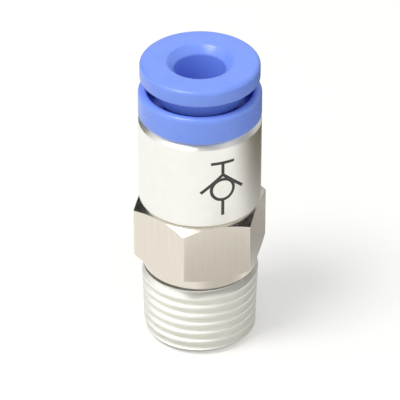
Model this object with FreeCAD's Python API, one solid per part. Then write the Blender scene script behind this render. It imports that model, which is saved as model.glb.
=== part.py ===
import FreeCAD, Part
import math
import os

# Straight push-in coupler for a plastic tube of 4 mm, with an R 1/8 male taper thread and a
# check valve inside. Air passes from the tube to the thread and is held from coming back.
# It stands on its threaded end: z = 0 is the end face, and +Z runs up the axis to the tube mouth.
# All sizes are in millimetres; r is a radius from that axis.

# The tube and how loosely the mouth takes it
tube_r = 2.0
mouth_play = 0.1
mouth_r = tube_r + mouth_play

# R 1/8 thread: the gauge plane, the taper (1 in 16 on the diameter) and the turned ends
gauge_z = 4.0
gauge_r = 9.728 / 2
taper = 1 / 32
end_face_r = 4.4
end_chamfer_z = 0.55
thread_top_z = 6.4
thread_top_chamfer = 0.2
relief_r = 4.25

# Hexagon for a 10 mm spanner, with a turned collar under it
collar_z = 6.95
collar_r = 4.85
hex_z = 7.7
hex_top_z = 13.2
hex_flats = 10.0
hex_face_r = 4.8
hex_chamfer_deg = 30.0

# Ways through the stud: port, valve chamber and the socket that holds the barrel
port_r = 2.2
port_z = 2.0
port_chamfer = 0.3
chamber_r = 3.0
socket_r = 3.9
socket_z = 9.9

# Barrel
barrel_r = 5.1
barrel_top_z = 21.3
barrel_top_chamfer = 0.45
barrel_foot_chamfer = 0.25
cassette_r = 4.3
cassette_z = 15.9
tip_seat_r = mouth_r
tube_stop_z = 13.9
flow_r = 1.35
seat_r = 2.3
seat_z = socket_z
socket_lead = 0.2

# O-ring between barrel and stud
ring_groove_r = 3.32
ring_groove_z = 11.2
ring_groove_width = 0.8
ring_cord_r = 0.28

# Guide ring, pressed into the mouth of the barrel
guide_r = 5.1
guide_top_z = 23.8
guide_top_round = 0.45
guide_under_chamfer = 0.25
guide_foot_z = 18.9
guide_well_r = 4.38
guide_well_z = 22.2
guide_bore_r = 3.05
guide_pocket_r = 3.55
guide_pocket_z = 20.6

# Release button
flange_r = 4.95
flange_z = 24.9
flange_top_z = 26.3
flange_round = 0.35
flange_under_round = 0.15
funnel_r = 2.75
funnel_depth = 0.65
neck_r = 4.25
neck_z = 23.4
sleeve_r = 2.95
barb_r = 3.35
barb_top_z = guide_pocket_z - 0.03
barb_foot_z = 19.95
nose_r = 2.55
nose_z = 18.66

# Claw ring
claw_sheet = 0.22
claw_rim_r = 4.25
claw_root_r = 3.3
claw_tip_r = 1.93
claw_drop = 0.8
claw_count = 10
claw_slit = 0.3
claw_slit_end_r = 0.24

# Tube seal
seal_top_z = guide_foot_z - claw_sheet
seal_top_r = 3.5
seal_well_r = 3.05
seal_well_z = 16.75
seal_lip_r = 1.9
seal_lip_z = 16.9
seal_lip_height = 0.35
seal_throat_r = 2.45

# Poppet of the check valve and its seal
poppet_top_z = 10.62
poppet_nose_r = 1.15
poppet_lip_r = 1.5
poppet_lip_z = 10.3
poppet_groove_r = 1.42
poppet_head_z = 9.68
poppet_head_r = 2.25
wing_top_z = 8.75
wing_foot_z = 5.8
wing_r = 2.94
wing_width = 0.8
wing_count = 4
wing_shoulder_r = 2.2
stem_r = 0.95
stem_foot_z = 4.4
stem_foot_round = 0.3
poppet_ring_r = 1.75
poppet_ring_z = 10.0
poppet_ring_cord_r = 0.3

# Valve spring, its round wire drawn with twelve sides to keep the long coil light
wire_r = 0.17
wire_sides = 12
coil_r = 2.52
closed_turns = 1.0
open_turns = 3.5
points_per_turn = 12


def point(r, z):
    return FreeCAD.Vector(r, 0, z)


def turned(outline):
    """A solid of revolution about Z from a closed outline of (r, z) corners."""
    corners = [point(r, z) for r, z in outline]
    face = Part.Face(Part.makePolygon(corners + corners[:1]))
    return face.revolve(FreeCAD.Vector(0, 0, 0), FreeCAD.Vector(0, 0, 1), 360)


def rims(solid, r, z):
    """The full round edges of the solid at this radius and height."""
    found = []
    for edge in solid.Edges:
        if edge.Curve.TypeId != "Part::GeomCircle":
            continue
        same_r = abs(edge.Curve.Radius - r) < 1e-6
        same_z = abs(edge.Curve.Center.z - z) < 1e-6
        if same_r and same_z:
            found.append(edge)
    return found


def thread_crest_r(z):
    return gauge_r + (z - gauge_z) * taper


def make_stud():
    """Nickel-plated brass stud: taper thread, relief, collar, hexagon, and the stepped bore."""
    chamfer_foot_z = thread_top_z - thread_top_chamfer
    blank = turned([
        (0, 0),
        (end_face_r, 0),
        (thread_crest_r(end_chamfer_z), end_chamfer_z),
        (thread_crest_r(chamfer_foot_z), chamfer_foot_z),
        (thread_crest_r(thread_top_z) - thread_top_chamfer, thread_top_z),
        (relief_r, thread_top_z),
        (relief_r, collar_z),
        (collar_r, collar_z),
        (collar_r, hex_z),
        (0, hex_z),
    ])
    corner_r = hex_flats / 2 / math.cos(math.radians(30))
    corners = []
    for side in range(7):
        turn = math.radians(60 * side)
        corners.append(FreeCAD.Vector(corner_r * math.cos(turn), corner_r * math.sin(turn), hex_z))
    hexagon = Part.Face(Part.makePolygon(corners)).extrude(FreeCAD.Vector(0, 0, hex_top_z - hex_z))
    fall = (corner_r - hex_face_r) * math.tan(math.radians(hex_chamfer_deg))
    envelope = turned([
        (0, hex_z),
        (hex_face_r, hex_z),
        (corner_r, hex_z + fall),
        (corner_r, hex_top_z - fall),
        (hex_face_r, hex_top_z),
        (0, hex_top_z),
    ])
    bore = turned([
        (0, 0),
        (port_r + port_chamfer, 0),
        (port_r, port_chamfer),
        (port_r, port_z),
        (chamber_r, port_z),
        (chamber_r, socket_z),
        (socket_r, socket_z),
        (socket_r, hex_top_z),
        (0, hex_top_z),
    ])
    return blank.fuse(hexagon.common(envelope)).cut(bore).removeSplitter()


def make_barrel():
    """Nickel-plated brass barrel: spigot with O-ring groove, valve seat, tube stop, cassette bore."""
    groove_top_z = ring_groove_z + ring_groove_width
    return turned([
        (seat_r, seat_z),
        (socket_r - socket_lead, seat_z),
        (socket_r, seat_z + socket_lead),
        (socket_r, ring_groove_z),
        (ring_groove_r, ring_groove_z),
        (ring_groove_r, groove_top_z),
        (socket_r, groove_top_z),
        (socket_r, hex_top_z),
        (barrel_r - barrel_foot_chamfer, hex_top_z),
        (barrel_r, hex_top_z + barrel_foot_chamfer),
        (barrel_r, barrel_top_z - barrel_top_chamfer),
        (barrel_r - barrel_top_chamfer, barrel_top_z),
        (cassette_r, barrel_top_z),
        (cassette_r, cassette_z),
        (tip_seat_r, cassette_z),
        (tip_seat_r, tube_stop_z),
        (flow_r, tube_stop_z),
        (flow_r, seat_z + seat_r - flow_r),
    ])


def make_barrel_o_ring():
    """Nitrile O-ring in the groove of the spigot."""
    cord = Part.makeTorus(socket_r - ring_cord_r - 0.01, ring_cord_r)
    cord.translate(FreeCAD.Vector(0, 0, ring_groove_z + ring_groove_width / 2))
    return cord


def make_guide_ring():
    """Blue resin ring: a collar flush with the barrel, and a sleeve pressed inside it."""
    ring = turned([
        (cassette_r, guide_foot_z),
        (cassette_r, barrel_top_z),
        (guide_r - guide_under_chamfer, barrel_top_z),
        (guide_r, barrel_top_z + guide_under_chamfer),
        (guide_r, guide_top_z),
        (guide_well_r, guide_top_z),
        (guide_well_r, guide_well_z),
        (guide_bore_r, guide_well_z),
        (guide_bore_r, guide_pocket_z),
        (guide_pocket_r, guide_pocket_z),
        (guide_pocket_r, guide_foot_z),
    ])
    return ring.makeFillet(guide_top_round, rims(ring, guide_r, guide_top_z))


def make_release_button():
    """Blue resin button: flange with a funnel mouth, neck, tube sleeve, snap barb and nose."""
    button = turned([
        (mouth_r, nose_z),
        (nose_r, nose_z),
        (barb_r, barb_foot_z),
        (barb_r, barb_top_z),
        (sleeve_r, barb_top_z),
        (sleeve_r, neck_z),
        (neck_r, neck_z),
        (neck_r, flange_z),
        (flange_r, flange_z),
        (flange_r, flange_top_z),
        (funnel_r, flange_top_z),
        (mouth_r, flange_top_z - funnel_depth),
    ])
    button = button.makeFillet(flange_round, rims(button, flange_r, flange_top_z))
    return button.makeFillet(flange_under_round, rims(button, flange_r, flange_z))


def make_claw_ring():
    """Stainless ring of sheet, its claws bent down to bite the tube and parted by slits."""
    rim_z = guide_foot_z - claw_sheet
    cone = turned([
        (claw_tip_r, guide_foot_z - claw_drop - claw_sheet),
        (claw_root_r, rim_z),
        (claw_rim_r, rim_z),
        (claw_rim_r, guide_foot_z),
        (claw_root_r, guide_foot_z),
        (claw_tip_r, guide_foot_z - claw_drop),
    ])
    slit_height = claw_drop + 3 * claw_sheet
    slit_foot_z = guide_foot_z - claw_drop - 2 * claw_sheet
    start = FreeCAD.Vector(0, -claw_slit / 2, slit_foot_z)
    slit = Part.makeBox(claw_root_r, claw_slit, slit_height, start)
    slit = slit.fuse(Part.makeCylinder(claw_slit_end_r, slit_height, point(claw_root_r, slit_foot_z)))
    for claw in range(claw_count):
        turned_slit = slit.copy()
        turned_slit.rotate(point(0, 0), FreeCAD.Vector(0, 0, 1), 360 / claw_count * claw)
        cone = cone.cut(turned_slit)
    return cone


def make_tube_seal():
    """Nitrile sleeve under the claws; its lip closes on the tube, and its well leaves them room."""
    return turned([
        (seal_throat_r, cassette_z),
        (cassette_r, cassette_z),
        (cassette_r, seal_top_z),
        (seal_top_r, seal_top_z),
        (seal_well_r, seal_well_z + seal_lip_height),
        (seal_throat_r, seal_well_z),
        (seal_lip_r, seal_lip_z - seal_lip_height),
        (seal_lip_r, seal_lip_z - 2 * seal_lip_height),
    ])


def make_valve_poppet():
    """Poppet: nose and groove for its seal, head, guide wings and a stem inside the spring."""
    poppet = turned([
        (0, stem_foot_z),
        (stem_r, stem_foot_z),
        (stem_r, wing_top_z),
        (poppet_head_r, wing_top_z),
        (poppet_head_r, poppet_head_z),
        (poppet_groove_r, poppet_head_z),
        (poppet_groove_r, poppet_lip_z),
        (poppet_lip_r, poppet_lip_z),
        (poppet_nose_r, poppet_top_z),
        (0, poppet_top_z),
    ])
    poppet = poppet.makeFillet(stem_foot_round, rims(poppet, stem_r, stem_foot_z))
    reach = turned([
        (0, stem_foot_z + stem_foot_round),
        (wing_shoulder_r, stem_foot_z + stem_foot_round),
        (wing_shoulder_r, wing_foot_z),
        (wing_r, wing_foot_z),
        (wing_r, wing_top_z),
        (poppet_head_r, poppet_head_z - stem_foot_round),
        (0, poppet_head_z - stem_foot_round),
    ])
    for wing in range(wing_count):
        low = FreeCAD.Vector(0, -wing_width / 2, stem_foot_z)
        blade = Part.makeBox(wing_r + wing_width, wing_width, poppet_head_z - stem_foot_z, low)
        blade.rotate(point(0, 0), FreeCAD.Vector(0, 0, 1), 360 / wing_count * wing)
        poppet = poppet.fuse(blade.common(reach))
    return poppet.removeSplitter()


def make_poppet_seal():
    """Nitrile ring on the nose of the poppet, which closes on the conical seat."""
    cord = Part.makeTorus(poppet_ring_r, poppet_ring_cord_r)
    cord.translate(FreeCAD.Vector(0, 0, poppet_ring_z))
    return cord


def coil_height(turn):
    """Height of the wire's centre: closed turns at both ends and an even pitch between."""
    closed_pitch = 2 * wire_r
    low_z = port_z + wire_r / 2
    high_z = wing_foot_z - wire_r / 2
    closed_rise = closed_turns * closed_pitch
    open_pitch = (high_z - low_z - 2 * closed_rise) / open_turns
    if turn < closed_turns:
        return low_z + turn * closed_pitch
    if turn < closed_turns + open_turns:
        return low_z + closed_rise + (turn - closed_turns) * open_pitch
    turns = 2 * closed_turns + open_turns
    return high_z - (turns - turn) * closed_pitch


def wire_section(centre, along):
    """The outline of the wire where it starts, square to the way that it runs."""
    across = along.cross(FreeCAD.Vector(1, 0, 0)).normalize()
    outward = across.cross(along)
    corners = []
    for side in range(wire_sides):
        angle = 2 * math.pi * side / wire_sides
        corners.append(centre + (outward * math.cos(angle) + across * math.sin(angle)) * wire_r)
    return Part.makePolygon(corners + corners[:1])


def make_valve_spring():
    """Stainless compression spring with closed ends ground flat."""
    turns = 2 * closed_turns + open_turns
    steps = int(turns * points_per_turn)
    path = []
    for step in range(steps + 1):
        turn = turns * step / steps
        angle = 2 * math.pi * turn
        path.append(FreeCAD.Vector(coil_r * math.cos(angle), coil_r * math.sin(angle), coil_height(turn)))
    curve = Part.BSplineCurve()
    curve.interpolate(path)
    spine = Part.Wire(curve.toShape())
    wire_end = wire_section(path[0], curve.tangent(curve.FirstParameter)[0])
    coil = spine.makePipeShell([wire_end], True, True)
    ground = Part.makeCylinder(chamber_r, wing_foot_z - port_z, point(0, port_z))
    return coil.common(ground)


makers = {
    "stud": make_stud,
    "barrel": make_barrel,
    "barrel_o_ring": make_barrel_o_ring,
    "guide_ring": make_guide_ring,
    "release_button": make_release_button,
    "claw_ring": make_claw_ring,
    "tube_seal": make_tube_seal,
    "valve_poppet": make_valve_poppet,
    "poppet_seal": make_poppet_seal,
    "valve_spring": make_valve_spring,
}

os.makedirs("parts", exist_ok=True)
for name, make in makers.items():
    shape = make()
    if len(shape.Solids) != 1 or not shape.isValid():
        raise SystemExit(f"{name}: {len(shape.Solids)} solids, valid {shape.isValid()}")
    shape.Solids[0].exportStep(f"parts/{name}.step")
    print(f"{name}: {shape.Volume:.2f} mm3")
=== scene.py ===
import math
import bpy
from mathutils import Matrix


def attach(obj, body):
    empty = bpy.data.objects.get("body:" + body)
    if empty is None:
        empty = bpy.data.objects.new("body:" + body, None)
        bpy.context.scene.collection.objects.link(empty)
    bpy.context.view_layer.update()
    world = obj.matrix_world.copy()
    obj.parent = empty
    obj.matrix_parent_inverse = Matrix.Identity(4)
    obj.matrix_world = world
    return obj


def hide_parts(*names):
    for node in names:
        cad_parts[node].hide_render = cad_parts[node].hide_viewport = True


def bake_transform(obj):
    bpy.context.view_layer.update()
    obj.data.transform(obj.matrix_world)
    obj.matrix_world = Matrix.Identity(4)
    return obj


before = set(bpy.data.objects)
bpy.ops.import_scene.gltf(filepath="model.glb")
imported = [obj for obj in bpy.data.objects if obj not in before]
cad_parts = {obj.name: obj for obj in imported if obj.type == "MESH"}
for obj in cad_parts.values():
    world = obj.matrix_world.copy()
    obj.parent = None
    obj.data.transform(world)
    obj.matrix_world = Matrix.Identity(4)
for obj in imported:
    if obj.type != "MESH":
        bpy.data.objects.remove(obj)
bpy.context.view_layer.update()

# The camera stands in front of the coupler, a little to its left, and looks down on it from
# near enough for the mouth to look wider than the thread.
camera_rise = math.radians(34)
camera_turn = math.radians(-16)
camera_distance = 0.27
camera_aim_height = 0.01265
picture_width = 0.0335
nearest_seen = 0.01
sensor_width = 36.0
camera_reach = camera_distance * math.cos(camera_rise)
camera_place = (
    camera_reach * math.sin(camera_turn),
    -camera_reach * math.cos(camera_turn),
    camera_aim_height + camera_distance * math.sin(camera_rise),
)
camera_tilt = (math.pi / 2 - camera_rise, 0, camera_turn)
bpy.ops.object.camera_add(location=camera_place, rotation=camera_tilt)
camera = bpy.context.object
camera.data.sensor_width = sensor_width
camera.data.lens = sensor_width * camera_distance / picture_width
camera.data.clip_start = nearest_seen
bpy.context.scene.camera = camera
bpy.context.scene.view_settings.view_transform = "Standard"

# The room is white, bright in front and on the left and dim on the right. Metal shows it bright
# overhead too, with three dark patches, as black flags give, which draw the coupler's chamfers.
room_bright = 1.0
room_dim = 0.22
room_bright_way = (-0.40, -0.68, 0.61)
room_ends = (-0.9, 0.9)
room_bright_in_metal = 1.05
room_dim_in_metal = 0.75
room_bright_way_in_metal = (-0.42, -0.34, 0.84)
room_ends_in_metal = (-0.9, 0.7)
flags = (
    (math.radians(-139), math.radians(28), 0.02),
    (math.radians(116), math.radians(51), 0.02),
    (math.radians(5), math.radians(56), 0.5),
)
flag_ends = (0.87, 0.95)
world = bpy.data.worlds.new("studio_room")
bpy.context.scene.world = world
world.use_nodes = True
room = world.node_tree
room.nodes.clear()
room_way = room.nodes.new("ShaderNodeTexCoord").outputs["Generated"]
room_ray = room.nodes.new("ShaderNodeLightPath")


def room_gradient(way, levels, ends):
    """A brightness that goes smoothly between two levels, by how far a ray points this way."""
    facing = room.nodes.new("ShaderNodeVectorMath")
    facing.operation = "DOT_PRODUCT"
    facing.inputs[1].default_value = way
    level = room.nodes.new("ShaderNodeMapRange")
    level.interpolation_type = "SMOOTHSTEP"
    level.inputs["From Min"].default_value = ends[0]
    level.inputs["From Max"].default_value = ends[1]
    level.inputs["To Min"].default_value = levels[0]
    level.inputs["To Max"].default_value = levels[1]
    room.links.new(room_way, facing.inputs[0])
    room.links.new(facing.outputs["Value"], level.inputs["Value"])
    return level.outputs["Result"]


room_level = room_gradient(room_bright_way, (room_dim, room_bright), room_ends)
metal_levels = (room_dim_in_metal, room_bright_in_metal)
metal_level = room_gradient(room_bright_way_in_metal, metal_levels, room_ends_in_metal)
for flag_side, flag_rise, flag_dark in flags:
    flag_turn = camera_turn - math.pi / 2 + flag_side
    flag_way = (
        math.cos(flag_rise) * math.cos(flag_turn),
        math.cos(flag_rise) * math.sin(flag_turn),
        math.sin(flag_rise),
    )
    flagged = room.nodes.new("ShaderNodeMath")
    flagged.operation = "MULTIPLY"
    room.links.new(metal_level, flagged.inputs[0])
    room.links.new(room_gradient(flag_way, (1, flag_dark), flag_ends), flagged.inputs[1])
    metal_level = flagged.outputs["Value"]
lit_level = room.nodes.new("ShaderNodeMix")
seen_level = room.nodes.new("ShaderNodeMix")
seen_level.inputs["B"].default_value = 1.0
air = room.nodes.new("ShaderNodeBackground")
room_out = room.nodes.new("ShaderNodeOutputWorld")
room.links.new(room_ray.outputs["Is Glossy Ray"], lit_level.inputs["Factor"])
room.links.new(room_level, lit_level.inputs["A"])
room.links.new(metal_level, lit_level.inputs["B"])
room.links.new(room_ray.outputs["Is Camera Ray"], seen_level.inputs["Factor"])
room.links.new(lit_level.outputs["Result"], seen_level.inputs["A"])
room.links.new(seen_level.outputs["Result"], air.inputs["Strength"])
room.links.new(air.outputs["Background"], room_out.inputs["Surface"])

# The floor is white paper. The camera sees it white, with the coupler's shadow, and so does
# metal, except for painted shade in a dim tan that only metal sees: dark to the right there,
# dimmer on patches in front and behind on the right, and round the coupler's foot.
floor_size = 3.0
floor_colour = (0.66, 0.655, 0.64, 1)
painted_shade_colour = (0.13, 0.11, 0.08, 1)
floor_lift = 0.32
floor_dim_way = (0.87, 0.49, 0)
floor_dim_from = 0.004
floor_dim_to = 0.036
# Patches of painted shade on the floor, seen only in metal: centre, radius of full shade, radius
# where it has faded, and strength.
painted_shade_patches = (
    ((0.006, -0.014, 0), 0.005, 0.013, 0.42),
    ((0.016, 0.009, 0), 0.002, 0.011, 0.62),
    ((0, 0, 0), 0.005, 0.009, 0.6),
)
bpy.ops.mesh.primitive_plane_add(size=floor_size, location=(0, 0, 0))
floor = bpy.context.object
floor.name = "floor"
floor_paper = bpy.data.materials.new("floor_paper")
floor_paper.use_nodes = True
paper = floor_paper.node_tree
paper.nodes.clear()
paper_place = paper.nodes.new("ShaderNodeTexCoord").outputs["Object"]
paper_ray = paper.nodes.new("ShaderNodeLightPath")


def floor_gradient(operation, point, ends, levels):
    """A level that changes smoothly by how far the floor lies along or from a point."""
    reading = paper.nodes.new("ShaderNodeVectorMath")
    reading.operation = operation
    reading.inputs[1].default_value = point
    level = paper.nodes.new("ShaderNodeMapRange")
    level.interpolation_type = "SMOOTHSTEP"
    level.inputs["From Min"].default_value = ends[0]
    level.inputs["From Max"].default_value = ends[1]
    level.inputs["To Min"].default_value = levels[0]
    level.inputs["To Max"].default_value = levels[1]
    paper.links.new(paper_place, reading.inputs[0])
    paper.links.new(reading.outputs["Value"], level.inputs["Value"])
    return level.outputs["Result"]


def floor_sum(operation, first, second):
    """Two levels, or a level and a number, brought into one."""
    node = paper.nodes.new("ShaderNodeMath")
    node.operation = operation
    paper.links.new(first, node.inputs[0])
    if isinstance(second, float):
        node.inputs[1].default_value = second
    else:
        paper.links.new(second, node.inputs[1])
    return node.outputs["Value"]


# Painted shade that only metal sees: darker to the right, on the patches, and round the coupler's
# foot.
painted_shade_in_metal = floor_gradient("DOT_PRODUCT", floor_dim_way, (floor_dim_from, floor_dim_to), (0, 1))
for patch_place, patch_core, patch_edge, patch_strength in painted_shade_patches:
    patch_shade = floor_gradient("DISTANCE", patch_place, (patch_core, patch_edge), (patch_strength, 0))
    painted_shade_in_metal = floor_sum("MAXIMUM", painted_shade_in_metal, patch_shade)
painted_shade_in_metal = floor_sum("MULTIPLY", painted_shade_in_metal, paper_ray.outputs["Is Glossy Ray"])
seen_ray = paper_ray.outputs["Is Camera Ray"]
for other_ray in ("Is Transmission Ray", "Is Glossy Ray"):
    seen_ray = floor_sum("MAXIMUM", seen_ray, paper_ray.outputs[other_ray])
paper_lift = floor_sum("MULTIPLY", floor_sum("SUBTRACT", seen_ray, painted_shade_in_metal), floor_lift)
paper_tone = paper.nodes.new("ShaderNodeMix")
paper_tone.data_type = "RGBA"
paper_tone.inputs["A"].default_value = floor_colour
paper_tone.inputs["B"].default_value = painted_shade_colour
paper_matt = paper.nodes.new("ShaderNodeBsdfDiffuse")
paper_glow = paper.nodes.new("ShaderNodeEmission")
paper_both = paper.nodes.new("ShaderNodeAddShader")
paper_out = paper.nodes.new("ShaderNodeOutputMaterial")
paper.links.new(painted_shade_in_metal, paper_tone.inputs["Factor"])
paper.links.new(paper_tone.outputs["Result"], paper_matt.inputs["Color"])
paper.links.new(paper_lift, paper_glow.inputs["Strength"])
paper.links.new(paper_matt.outputs["BSDF"], paper_both.inputs[0])
paper.links.new(paper_glow.outputs["Emission"], paper_both.inputs[1])
paper.links.new(paper_both.outputs["Shader"], paper_out.inputs["Surface"])
floor.data.materials.append(floor_paper)

# One soft lamp hangs almost overhead, a little to the left and in front, so that the flange
# shades the groove below it and the coupler's shadow falls close by on the right.
lamp_power = 1.92
lamp_size = 0.22
lamp_place = (-0.25, -0.08, 0.56)
bpy.ops.object.light_add(type="AREA", location=lamp_place)
lamp = bpy.context.object
lamp.data.energy = lamp_power
lamp.data.size = lamp_size
lamp.rotation_euler = (-lamp.location).to_track_quat("-Z", "Y").to_euler()

# The stud is turned from hexagonal brass bar, threaded, bored through and nickel-plated. It
# screws into the port, and its socket holds the barrel.
mm = 0.001
end_face_r = 4.4 * mm
end_chamfer_z = 0.55 * mm
gauge_z = 4.0 * mm
gauge_r = 4.864 * mm
taper = 1 / 32
thread_top_z = 6.4 * mm
thread_top_chamfer = 0.2 * mm
relief_r = 4.25 * mm
collar_z = 6.95 * mm
collar_r = 4.85 * mm
hex_z = 7.7 * mm
hex_top_z = 13.2 * mm
hex_face_r = 4.8 * mm
hex_flats = 10.0 * mm
bar_r = 5.9 * mm
bar_edge = 0.06 * mm
hex_chamfer = math.radians(30)
socket_r = 3.9 * mm
socket_z = 9.9 * mm
chamber_r = 3.0 * mm
port_z = 2.0 * mm
port_r = 2.2 * mm
port_chamfer = 0.3 * mm
thread_pitch = 25.4 / 28 * mm
thread_depth = 0.6403 * thread_pitch
thread_root = 0.12 * mm
thread_flank = math.radians(27.5)
thread_start = 0.24 * mm
groove_over = 0.1 * mm
groove_turns = 9
groove_steps = 96
band_over = 0.02 * mm
lathe_weld = 0.0001 * mm
groove_weld = 0.00001 * mm
stud_weld = 0.001 * mm


def thread_crest_r(height):
    return gauge_r + (height - gauge_z) * taper


def turn(name, outline, sides=192):
    """Draws a round piece up from each ring of its closed outline to the next, as on a lathe."""
    radius, height = outline[0]
    bpy.ops.object.select_all(action="DESELECT")
    bpy.ops.mesh.primitive_circle_add(vertices=sides, radius=radius, location=(0, 0, height))
    piece = bpy.context.object
    piece.name = name
    bpy.ops.object.transform_apply(location=True, rotation=True, scale=True)
    bpy.ops.object.mode_set(mode="EDIT")
    bpy.ops.mesh.select_all(action="SELECT")
    for next_radius, next_height in outline[1:] + outline[:1]:
        rise = (0, 0, next_height - height)
        bpy.ops.mesh.extrude_region_move(TRANSFORM_OT_translate={"value": rise})
        spread = next_radius / radius
        bpy.ops.transform.resize(value=(spread, spread, 1), center_override=(0, 0, next_height))
        radius, height = next_radius, next_height
    bpy.ops.mesh.select_all(action="SELECT")
    bpy.ops.mesh.remove_doubles(threshold=lathe_weld)
    bpy.ops.mesh.normals_make_consistent(inside=False)
    bpy.ops.object.mode_set(mode="OBJECT")
    return piece


def apply_modifier(piece, kind, settings):
    """Adds one modifier to the piece, with these settings, and applies it."""
    bpy.ops.object.select_all(action="DESELECT")
    bpy.context.view_layer.objects.active = piece
    piece.select_set(True)
    change = piece.modifiers.new(kind.lower(), kind)
    for setting, value in settings.items():
        setattr(change, setting, value)
    bpy.ops.object.modifier_apply(modifier=change.name)


def join_by(operation, piece, tool):
    """Cuts, trims or adds to the piece with a tool that is then thrown away."""
    apply_modifier(piece, "BOOLEAN", {"object": tool, "operation": operation, "solver": "EXACT"})
    bpy.data.objects.remove(tool)


def round_edges(piece, size, steps, wanted):
    """Rounds the edges of the piece whose two ends pass the test."""
    bpy.ops.object.select_all(action="DESELECT")
    bpy.context.view_layer.objects.active = piece
    piece.select_set(True)
    bpy.ops.object.mode_set(mode="EDIT")
    bpy.ops.mesh.select_mode(type="EDGE")
    bpy.ops.mesh.select_all(action="DESELECT")
    bpy.ops.object.mode_set(mode="OBJECT")
    for edge in piece.data.edges:
        first, second = [piece.data.vertices[i].co for i in edge.vertices]
        edge.select = wanted(first, second)
    bpy.ops.object.mode_set(mode="EDIT")
    bpy.ops.mesh.bevel(offset=size, offset_type="OFFSET", segments=steps, affect="EDGES")
    bpy.ops.mesh.select_mode(type="VERT")
    bpy.ops.object.mode_set(mode="OBJECT")


def smooth(piece, angle=30):
    """Shades the piece smooth, apart from edges sharper than the angle."""
    bpy.ops.object.select_all(action="DESELECT")
    bpy.context.view_layer.objects.active = piece
    piece.select_set(True)
    bpy.ops.object.shade_smooth_by_angle(angle=math.radians(angle))


die_stop_z = (thread_top_z + collar_z) / 2
chamfer_fall = (bar_r - hex_face_r) * math.tan(hex_chamfer)
stud = turn("stud_body", [
    (end_face_r, 0),
    (thread_crest_r(end_chamfer_z), end_chamfer_z),
    (thread_crest_r(thread_top_z - thread_top_chamfer), thread_top_z - thread_top_chamfer),
    (thread_crest_r(thread_top_z) - thread_top_chamfer, thread_top_z),
    (relief_r, thread_top_z),
    (relief_r, collar_z),
    (collar_r, collar_z),
    (collar_r, hex_z),
    (hex_face_r, hex_z),
    (bar_r, hex_z + chamfer_fall),
    (bar_r, hex_top_z - chamfer_fall),
    (hex_face_r, hex_top_z),
    (socket_r, hex_top_z),
    (socket_r, socket_z),
    (chamber_r, socket_z),
    (chamber_r, port_z),
    (port_r, port_z),
    (port_r, port_chamfer),
    (port_r + port_chamfer, 0),
])

bpy.ops.object.select_all(action="DESELECT")
bpy.ops.mesh.primitive_cylinder_add(
    vertices=6,
    radius=hex_flats / 2 / math.cos(math.radians(30)),
    depth=2 * hex_top_z,
    location=(0, 0, hex_top_z / 2),
    rotation=(0, 0, math.radians(30)),
)
bar = bpy.context.object
bpy.ops.object.transform_apply(location=True, rotation=True, scale=True)
round_edges(bar, bar_edge, 3, lambda first, second: abs(first.z - second.z) > hex_flats)
join_by("INTERSECT", stud, bar)

root_r = gauge_r - thread_depth
mouth_half = thread_root / 2 + (thread_depth + groove_over) * math.tan(thread_flank)
bpy.ops.object.select_all(action="DESELECT")
bpy.ops.mesh.primitive_plane_add(size=1)
thread_tool = bpy.context.object
tool_corners = [
    (root_r, -thread_root / 2),
    (gauge_r + groove_over, -mouth_half),
    (root_r, thread_root / 2),
    (gauge_r + groove_over, mouth_half),
]
for vertex, (radius, height) in zip(thread_tool.data.vertices, tool_corners):
    vertex.co = (radius, 0, height - thread_pitch + thread_start)
bpy.ops.object.mode_set(mode="EDIT")
bpy.ops.mesh.select_all(action="SELECT")
bpy.ops.mesh.delete(type="ONLY_FACE")
bpy.ops.object.mode_set(mode="OBJECT")
apply_modifier(thread_tool, "SCREW", {
    "screw_offset": thread_pitch,
    "iterations": groove_turns,
    "steps": groove_steps,
    "render_steps": groove_steps,
    "use_normal_calculate": True,
})
bpy.ops.object.mode_set(mode="EDIT")
bpy.ops.mesh.select_all(action="SELECT")
bpy.ops.mesh.remove_doubles(threshold=groove_weld)
bpy.ops.mesh.select_all(action="SELECT")
bpy.ops.mesh.fill_holes(sides=4)
bpy.ops.mesh.normals_make_consistent(inside=False)
bpy.ops.object.mode_set(mode="OBJECT")
for vertex in thread_tool.data.vertices:
    swell = thread_crest_r(vertex.co.z) / gauge_r
    vertex.co.x *= swell
    vertex.co.y *= swell
bpy.ops.object.select_all(action="DESELECT")
bpy.ops.mesh.primitive_cylinder_add(vertices=48, radius=2 * gauge_r, depth=2 * die_stop_z)
die_reach = bpy.context.object
join_by("INTERSECT", thread_tool, die_reach)
join_by("DIFFERENCE", stud, thread_tool)
bpy.ops.object.mode_set(mode="EDIT")
bpy.ops.mesh.select_all(action="SELECT")
bpy.ops.mesh.remove_doubles(threshold=stud_weld)
bpy.ops.object.mode_set(mode="OBJECT")
smooth(stud)


def finish_nodes(name):
    """A new material with its tree, its shader and the piece's own coordinates."""
    material = bpy.data.materials.new(name)
    material.use_nodes = True
    tree = material.node_tree
    shader = tree.nodes["Principled BSDF"]
    place = tree.nodes.new("ShaderNodeTexCoord").outputs["Object"]
    return material, tree, shader, place


def grain(tree, place, scale, detail, low, high):
    """Fine noise at this scale, brought between the two values."""
    noise = tree.nodes.new("ShaderNodeTexNoise")
    noise.inputs["Scale"].default_value = scale
    noise.inputs["Detail"].default_value = detail
    tree.links.new(place, noise.inputs["Vector"])
    span = tree.nodes.new("ShaderNodeMapRange")
    span.inputs["From Min"].default_value = 0.3
    span.inputs["From Max"].default_value = 0.7
    span.inputs["To Min"].default_value = low
    span.inputs["To Max"].default_value = high
    tree.links.new(noise.outputs["Fac"], span.inputs["Value"])
    return span.outputs["Result"]


def two_tones(tree, share, first, second):
    """A colour that wanders between two tones of one finish."""
    blend = tree.nodes.new("ShaderNodeMix")
    blend.data_type = "RGBA"
    blend.inputs["A"].default_value = (*first, 1)
    blend.inputs["B"].default_value = (*second, 1)
    tree.links.new(share, blend.inputs["Factor"])
    return blend.outputs["Result"]


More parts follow.
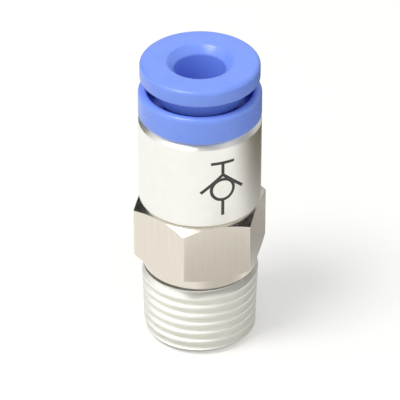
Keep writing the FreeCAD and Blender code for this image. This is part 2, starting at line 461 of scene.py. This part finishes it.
def add_bump(tree, shader, height, strength, depth):
    """Lays one more relief over what the shader has already."""
    bump = tree.nodes.new("ShaderNodeBump")
    bump.inputs["Strength"].default_value = strength
    bump.inputs["Distance"].default_value = depth
    tree.links.new(height, bump.inputs["Height"])
    for link in shader.inputs["Normal"].links:
        tree.links.new(link.from_socket, bump.inputs["Normal"])
    tree.links.new(bump.outputs["Normal"], shader.inputs["Normal"])


def band(tree, height, low, high):
    """One between two heights of the piece, and nought above and below them."""
    inside = tree.nodes.new("ShaderNodeMath")
    inside.operation = "COMPARE"
    inside.inputs[1].default_value = (low + high) / 2
    inside.inputs[2].default_value = (high - low) / 2
    tree.links.new(height, inside.inputs[0])
    return inside.outputs["Value"]


def nickel_plate():
    """Satin nickel over brass: pale, with the cutter's fine rings where the brass is turned.

    The hexagon keeps the smoother skin of the drawn bar, with its long marks, and a darker,
    warmer tone that is painted reflection of a dim, warm floor. The thread is paler and duller
    than the rest, and the narrow groove above it is duller, and darker as painted shade.
    """
    material, tree, shader, place = finish_nodes("nickel_plate")
    shader.inputs["Metallic"].default_value = 1.0
    along = tree.nodes.new("ShaderNodeSeparateXYZ")
    tree.links.new(place, along.inputs["Vector"])
    drawn = band(tree, along.outputs["Z"], collar_z, hex_top_z)
    threaded = band(tree, along.outputs["Z"], -thread_pitch, thread_top_z)
    # The narrow groove below the collar, where shade is painted.
    relief_shade_zone = band(tree, along.outputs["Z"], thread_top_z - band_over, collar_z + band_over)
    along_bar = tree.nodes.new("ShaderNodeVectorMath")
    along_bar.operation = "MULTIPLY"
    along_bar.inputs[1].default_value = (1, 1, 0.05)
    tree.links.new(place, along_bar.inputs[0])
    streaks = grain(tree, along_bar.outputs["Vector"], 5000, 3, 0, 1)
    patches = grain(tree, place, 900, 4, 0, 1)
    tone = two_tones(tree, patches, (0.92, 0.912, 0.86), (0.89, 0.882, 0.83))
    # Darker, warmer tone of the hexagon: painted reflection of a dim, warm floor, on the drawn
    # bar's streaked skin.
    drawn_reflection_tone = two_tones(tree, streaks, (0.785, 0.735, 0.65), (0.745, 0.695, 0.61))
    thread_tone = two_tones(tree, patches, (0.945, 0.94, 0.90), (0.925, 0.92, 0.88))
    # Painted shade: the relief groove under the collar is darker.
    relief_shade_tone = two_tones(tree, patches, (0.62, 0.60, 0.56), (0.54, 0.52, 0.48))
    gloss = grain(tree, place, 2600, 3, 0.28, 0.36)
    for zone, zone_tone, change in (
        (drawn, drawn_reflection_tone, -0.08),
        (threaded, thread_tone, 0.36),
        (relief_shade_zone, relief_shade_tone, 0.22),
    ):
        skin = tree.nodes.new("ShaderNodeMix")
        skin.data_type = "RGBA"
        tree.links.new(zone, skin.inputs["Factor"])
        tree.links.new(tone, skin.inputs["A"])
        tree.links.new(zone_tone, skin.inputs["B"])
        tone = skin.outputs["Result"]
        zone_gloss = tree.nodes.new("ShaderNodeMath")
        zone_gloss.operation = "MULTIPLY_ADD"
        zone_gloss.inputs[1].default_value = change
        tree.links.new(zone, zone_gloss.inputs[0])
        tree.links.new(gloss, zone_gloss.inputs[2])
        gloss = zone_gloss.outputs["Value"]
    tree.links.new(tone, shader.inputs["Base Color"])
    tree.links.new(gloss, shader.inputs["Roughness"])
    rings = tree.nodes.new("ShaderNodeTexWave")
    rings.bands_direction = "Z"
    rings.inputs["Scale"].default_value = 2600
    rings.inputs["Distortion"].default_value = 1.5
    rings.inputs["Detail"].default_value = 2
    tree.links.new(place, rings.inputs["Vector"])
    marks = tree.nodes.new("ShaderNodeMix")
    tree.links.new(drawn, marks.inputs["Factor"])
    tree.links.new(rings.outputs["Fac"], marks.inputs["A"])
    tree.links.new(streaks, marks.inputs["B"])
    add_bump(tree, shader, marks.outputs["Result"], 0.25, 0.004 * mm)
    add_bump(tree, shader, grain(tree, place, 14000, 2, 0, 1), 0.3, 0.004 * mm)
    return material


nickel = nickel_plate()
stud.data.materials.append(nickel)
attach(stud, "housing")
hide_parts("stud")

# The valve spring is coiled from bright stainless wire, its ends closed. It stands on the ledge
# above the port and pushes the poppet up on to the barrel's seat.
wire_r = 0.17 * mm
coil_r = 2.52 * mm
spring_foot_z = port_z
spring_top_z = 5.8 * mm
closed_turns = 1
open_turns = 3.5
wire_sides = 16
half_turn_steps = 24
closed_pitch = 2 * wire_r
coil_low_z = spring_foot_z + wire_r
coil_high_z = spring_top_z - wire_r
open_pitch = (coil_high_z - coil_low_z - 2 * closed_turns * closed_pitch) / open_turns
bpy.ops.object.select_all(action="DESELECT")
bpy.ops.mesh.primitive_circle_add(
    vertices=wire_sides,
    radius=wire_r,
    location=(coil_r, 0, coil_low_z),
    rotation=(math.pi / 2, 0, 0),
)
spring = bpy.context.object
spring.name = "coil_spring"
bpy.ops.object.transform_apply(location=True, rotation=True, scale=True)
apply_modifier(spring, "SCREW", {
    "angle": math.pi,
    "screw_offset": open_pitch / 2,
    "iterations": round(2 * (open_turns + 2 * closed_turns)),
    "steps": half_turn_steps,
    "render_steps": half_turn_steps,
})
bpy.ops.object.mode_set(mode="EDIT")
bpy.ops.mesh.select_all(action="SELECT")
bpy.ops.mesh.fill_holes(sides=wire_sides)
bpy.ops.mesh.normals_make_consistent(inside=False)
bpy.ops.object.mode_set(mode="OBJECT")
for vertex in spring.data.vertices:
    lap = math.atan2(vertex.co.y, vertex.co.x) / (2 * math.pi)
    whole = round((vertex.co.z - coil_low_z) / open_pitch - lap)
    turns_up = whole + lap
    old_z = coil_low_z + turns_up * open_pitch
    low_part = min(max(turns_up, 0), closed_turns) * closed_pitch
    middle_part = min(max(turns_up - closed_turns, 0), open_turns) * open_pitch
    high_part = max(turns_up - closed_turns - open_turns, 0) * closed_pitch
    vertex.co.z += coil_low_z + low_part + middle_part + high_part - old_z
smooth(spring, 60)


def bright_steel():
    """Stainless wire and sheet: bright and smooth, with faint drawing marks."""
    material, tree, shader, place = finish_nodes("bright_steel")
    shader.inputs["Metallic"].default_value = 1.0
    patches = grain(tree, place, 1500, 3, 0, 1)
    tone = two_tones(tree, patches, (0.62, 0.61, 0.60), (0.54, 0.54, 0.54))
    tree.links.new(tone, shader.inputs["Base Color"])
    tree.links.new(grain(tree, place, 5000, 3, 0.18, 0.3), shader.inputs["Roughness"])
    return material


steel = bright_steel()
spring.data.materials.append(steel)
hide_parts("valve_spring")
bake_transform(spring)


# The poppet is turned from brass and milled to four guide wings; its seal, the tube seal and
# the barrel's O-ring are moulded in black nitrile rubber. They keep the shapes they have.
def turned_brass():
    """Bare turned brass with fine cutter rings."""
    material, tree, shader, place = finish_nodes("turned_brass")
    shader.inputs["Metallic"].default_value = 1.0
    patches = grain(tree, place, 1200, 3, 0, 1)
    tone = two_tones(tree, patches, (0.78, 0.60, 0.30), (0.70, 0.52, 0.25))
    tree.links.new(tone, shader.inputs["Base Color"])
    tree.links.new(grain(tree, place, 4000, 2, 0.22, 0.34), shader.inputs["Roughness"])
    return material


def black_rubber():
    """Nitrile rubber: near black, dull, with a fine moulded grain."""
    material, tree, shader, place = finish_nodes("black_rubber")
    patches = grain(tree, place, 1800, 4, 0, 1)
    tone = two_tones(tree, patches, (0.018, 0.018, 0.02), (0.035, 0.034, 0.036))
    tree.links.new(tone, shader.inputs["Base Color"])
    tree.links.new(grain(tree, place, 5000, 3, 0.5, 0.7), shader.inputs["Roughness"])
    add_bump(tree, shader, grain(tree, place, 20000, 2, 0, 1), 0.3, 0.01 * mm)
    return material


rubber = black_rubber()
for node in ("barrel_o_ring", "tube_seal", "poppet_seal"):
    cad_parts[node].material_slots[0].material = rubber
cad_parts["valve_poppet"].material_slots[0].material = turned_brass()

# The barrel is turned from round brass and nickel-plated. Its spigot is pressed into the stud
# and ends in the valve seat; its wide bore holds the claws and the seal.
barrel_r = 5.1 * mm
barrel_top_z = 21.3 * mm
barrel_top_chamfer = 0.45 * mm
barrel_foot_chamfer = 0.25 * mm
cassette_r = 4.3 * mm
cassette_z = 15.9 * mm
mouth_r = 2.1 * mm
tube_stop_z = 13.9 * mm
flow_r = 1.35 * mm
seat_r = 2.3 * mm
socket_lead = 0.2 * mm
ring_groove_r = 3.32 * mm
ring_groove_z = 11.2 * mm
ring_groove_top_z = 12.0 * mm
barrel = turn("barrel_body", [
    (seat_r, socket_z),
    (socket_r - socket_lead, socket_z),
    (socket_r, socket_z + socket_lead),
    (socket_r, ring_groove_z),
    (ring_groove_r, ring_groove_z),
    (ring_groove_r, ring_groove_top_z),
    (socket_r, ring_groove_top_z),
    (socket_r, hex_top_z),
    (barrel_r - barrel_foot_chamfer, hex_top_z),
    (barrel_r, hex_top_z + barrel_foot_chamfer),
    (barrel_r, barrel_top_z - barrel_top_chamfer),
    (barrel_r - barrel_top_chamfer, barrel_top_z),
    (cassette_r, barrel_top_z),
    (cassette_r, cassette_z),
    (mouth_r, cassette_z),
    (mouth_r, tube_stop_z),
    (flow_r, tube_stop_z),
    (flow_r, socket_z + seat_r - flow_r),
])
smooth(barrel)
barrel.data.materials.append(nickel)
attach(barrel, "housing")
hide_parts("barrel")

# The flow sign is printed on the barrel in dark ink: a ball under an open seat, with a line in
# and a line out, which is the common sign of a check valve.
sign_turn = math.radians(5.5)
sign_line = 0.27 * mm
sign_bar_half = 0.95 * mm
sign_bar_z = 19.5 * mm
sign_seat_z = 18.35 * mm
sign_seat_half = 1.82 * mm
sign_seat_drop = 1.6 * mm
sign_ball_z = 16.9 * mm
sign_ball_r = 0.98 * mm
sign_tail_z = 14.45 * mm
sign_step = 0.1 * mm
sign_steps_aside = 20
sign_weld = 0.002 * mm
ink_top_r = barrel_r + 0.006 * mm
ink_foot_r = barrel_r - 0.004 * mm
stencil = 0.3 * mm


def ink_stroke(start, end, depth):
    """One straight stroke of the sign between two points (across, height), still flat.

    Each stroke has its own depth, so that no two of them have a face in one plane.
    """
    across, rise = end[0] - start[0], end[1] - start[1]
    bpy.ops.object.select_all(action="DESELECT")
    bpy.ops.mesh.primitive_cube_add(
        size=1,
        location=((start[0] + end[0]) / 2, 0, (start[1] + end[1]) / 2),
        rotation=(0, math.atan2(across, rise), 0),
        scale=(sign_line, depth, math.hypot(across, rise) + sign_line / 2),
    )
    bpy.ops.object.transform_apply(location=True, rotation=True, scale=True)
    return bpy.context.object


bpy.ops.object.select_all(action="DESELECT")
bpy.ops.mesh.primitive_cylinder_add(
    vertices=64,
    radius=sign_ball_r + sign_line / 2,
    depth=stencil,
    location=(0, 0, sign_ball_z),
    rotation=(math.pi / 2, 0, 0),
)
sign = bpy.context.object
sign.name = "flow_sign"
bpy.ops.object.transform_apply(location=True, rotation=True, scale=True)
bpy.ops.object.select_all(action="DESELECT")
bpy.ops.mesh.primitive_cylinder_add(
    vertices=64,
    radius=sign_ball_r - sign_line / 2,
    depth=2 * stencil,
    location=(0, 0, sign_ball_z),
    rotation=(math.pi / 2, 0, 0),
)
ball_hollow = bpy.context.object
join_by("DIFFERENCE", sign, ball_hollow)
seat_end_z = sign_seat_z - sign_seat_drop
for start, end, depth in (
    ((-sign_bar_half, sign_bar_z), (sign_bar_half, sign_bar_z), 1.1 * stencil),
    ((0, sign_bar_z), (0, sign_seat_z), 1.2 * stencil),
    ((0, sign_seat_z), (-sign_seat_half, seat_end_z), 1.3 * stencil),
    ((0, sign_seat_z), (sign_seat_half, seat_end_z), 1.4 * stencil),
    ((0, sign_ball_z - sign_ball_r), (0, sign_tail_z), 1.5 * stencil),
):
    join_by("UNION", sign, ink_stroke(start, end, depth))
sheet_size = (barrel_r, stencil / 2, 2 * barrel_r)
bpy.ops.mesh.primitive_cube_add(size=1, location=(0, 0, sign_ball_z), scale=sheet_size)
stencil_sheet = bpy.context.object
join_by("INTERSECT", sign, stencil_sheet)
bpy.ops.object.mode_set(mode="EDIT")
for step in range(-sign_steps_aside, sign_steps_aside):
    bpy.ops.mesh.select_all(action="SELECT")
    bpy.ops.mesh.bisect(plane_co=((step + 0.5) * sign_step, 0, 0), plane_no=(1, 0, 0))
bpy.ops.mesh.select_all(action="SELECT")
bpy.ops.mesh.remove_doubles(threshold=sign_weld)
bpy.ops.mesh.normals_make_consistent(inside=False)
bpy.ops.object.mode_set(mode="OBJECT")
for vertex in sign.data.vertices:
    radius = ink_top_r if vertex.co.y < 0 else ink_foot_r
    lap = sign_turn + vertex.co.x / barrel_r
    vertex.co.x = radius * math.sin(lap)
    vertex.co.y = -radius * math.cos(lap)
smooth(sign)


def sign_ink():
    """Pad-printed ink: near black, matt, a little thin in places."""
    material, tree, shader, place = finish_nodes("sign_ink")
    patches = grain(tree, place, 6000, 4, 0, 1)
    tone = two_tones(tree, patches, (0.035, 0.033, 0.032), (0.075, 0.07, 0.065))
    tree.links.new(tone, shader.inputs["Base Color"])
    tree.links.new(grain(tree, place, 9000, 2, 0.45, 0.6), shader.inputs["Roughness"])
    return material


sign.data.materials.append(sign_ink())
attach(sign, "housing")

# The claw ring is pressed from thin stainless sheet; its claws bite the tube, and bend down
# under the button's nose to let it go.
claw_sheet = 0.22 * mm
claw_rim_r = 4.25 * mm
claw_root_r = 3.3 * mm
claw_tip_r = 1.93 * mm
claw_top_z = 18.9 * mm
claw_drop = 0.8 * mm
claw_count = 10
claw_slit = 0.3 * mm
claw_slit_end_r = 0.24 * mm
claws = turn("claw_teeth", [
    (claw_tip_r, claw_top_z - claw_drop - claw_sheet),
    (claw_root_r, claw_top_z - claw_sheet),
    (claw_rim_r, claw_top_z - claw_sheet),
    (claw_rim_r, claw_top_z),
    (claw_root_r, claw_top_z),
    (claw_tip_r, claw_top_z - claw_drop),
], sides=120)
for claw in range(claw_count):
    turned_by = 2 * math.pi * claw / claw_count
    slit_x = claw_root_r * math.cos(turned_by)
    slit_y = claw_root_r * math.sin(turned_by)
    bpy.ops.object.select_all(action="DESELECT")
    bpy.ops.mesh.primitive_cylinder_add(
        vertices=24,
        radius=claw_slit_end_r,
        depth=4 * claw_drop,
        location=(slit_x, slit_y, claw_top_z),
    )
    slit_end = bpy.context.object
    join_by("DIFFERENCE", claws, slit_end)
    bpy.ops.mesh.primitive_cube_add(
        size=1,
        location=(slit_x / 2, slit_y / 2, claw_top_z),
        rotation=(0, 0, turned_by),
        scale=(claw_root_r, claw_slit, 4 * claw_drop),
    )
    slit = bpy.context.object
    join_by("DIFFERENCE", claws, slit)
smooth(claws)
claws.data.materials.append(steel)
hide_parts("claw_ring")
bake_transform(claws)

# The guide ring is moulded in blue acetal resin. Its sleeve is pressed into the barrel, and its
# collar stands on the barrel's end, flush with it.
guide_r = 5.1 * mm
guide_top_z = 23.8 * mm
guide_top_round = 0.45 * mm
guide_under_chamfer = 0.25 * mm
guide_foot_z = claw_top_z
guide_well_r = 4.38 * mm
guide_well_z = 22.2 * mm
guide_well_round = 0.25 * mm
guide_bore_r = 3.05 * mm
guide_pocket_r = 3.55 * mm
guide_pocket_z = 20.6 * mm
guide = turn("guide_collar", [
    (cassette_r, guide_foot_z),
    (cassette_r, barrel_top_z),
    (guide_r - guide_under_chamfer, barrel_top_z),
    (guide_r, barrel_top_z + guide_under_chamfer),
    (guide_r, guide_top_z),
    (guide_well_r, guide_top_z),
    (guide_well_r, guide_well_z),
    (guide_bore_r, guide_well_z),
    (guide_bore_r, guide_pocket_z),
    (guide_pocket_r, guide_pocket_z),
    (guide_pocket_r, guide_foot_z),
])


def round_rim(piece, radius, height, size, steps):
    """Rounds the rim of a turned piece at this radius and height."""
    near = 0.01 * mm

    def on_rim(first, second):
        at_radius = all(abs(math.hypot(end.x, end.y) - radius) < near for end in (first, second))
        return at_radius and all(abs(end.z - height) < near for end in (first, second))

    round_edges(piece, size, steps, on_rim)


round_rim(guide, guide_r, guide_top_z, guide_top_round, 6)
round_rim(guide, guide_well_r, guide_top_z, guide_well_round, 5)
smooth(guide)


def blue_resin():
    """Acetal resin: cornflower blue right through, satin from the mould."""
    material, tree, shader, place = finish_nodes("blue_resin")
    patches = grain(tree, place, 500, 4, 0, 1)
    tone = two_tones(tree, patches, (0.208, 0.335, 0.93), (0.184, 0.31, 0.89))
    tree.links.new(tone, shader.inputs["Base Color"])
    tree.links.new(grain(tree, place, 3000, 3, 0.26, 0.34), shader.inputs["Roughness"])
    add_bump(tree, shader, grain(tree, place, 9000, 3, 0, 1), 0.2, 0.006 * mm)
    return material


resin = blue_resin()
guide.data.materials.append(resin)
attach(guide, "housing")
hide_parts("guide_ring")

# The release button is moulded in the same resin. A finger presses its flange, whose funnel
# leads the tube in, and its nose bends the claws off the tube; a snap barb keeps it in the ring.
# Its neck is a little thinner than the solid's, so that the groove under the flange is deep.
flange_r = 4.95 * mm
flange_z = 24.9 * mm
flange_top_z = 26.3 * mm
flange_round = 0.35 * mm
flange_under_round = 0.15 * mm
funnel_r = 2.75 * mm
funnel_depth = 0.65 * mm
funnel_round = 0.12 * mm
neck_r = 3.8 * mm
neck_z = 23.4 * mm
sleeve_r = 2.95 * mm
barb_r = 3.35 * mm
barb_top_z = guide_pocket_z - 0.03 * mm
barb_foot_z = 19.95 * mm
nose_r = 2.55 * mm
nose_z = 18.66 * mm
button = turn("push_button", [
    (mouth_r, nose_z),
    (nose_r, nose_z),
    (barb_r, barb_foot_z),
    (barb_r, barb_top_z),
    (sleeve_r, barb_top_z),
    (sleeve_r, neck_z),
    (neck_r, neck_z),
    (neck_r, flange_z),
    (flange_r, flange_z),
    (flange_r, flange_top_z),
    (funnel_r, flange_top_z),
    (mouth_r, flange_top_z - funnel_depth),
])
round_rim(button, flange_r, flange_top_z, flange_round, 6)
round_rim(button, flange_r, flange_z, flange_under_round, 4)
round_rim(button, funnel_r, flange_top_z, funnel_round, 4)
round_rim(button, mouth_r, flange_top_z - funnel_depth, funnel_round, 4)
smooth(button)
button.data.materials.append(resin)
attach(button, "release")
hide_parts("release_button")
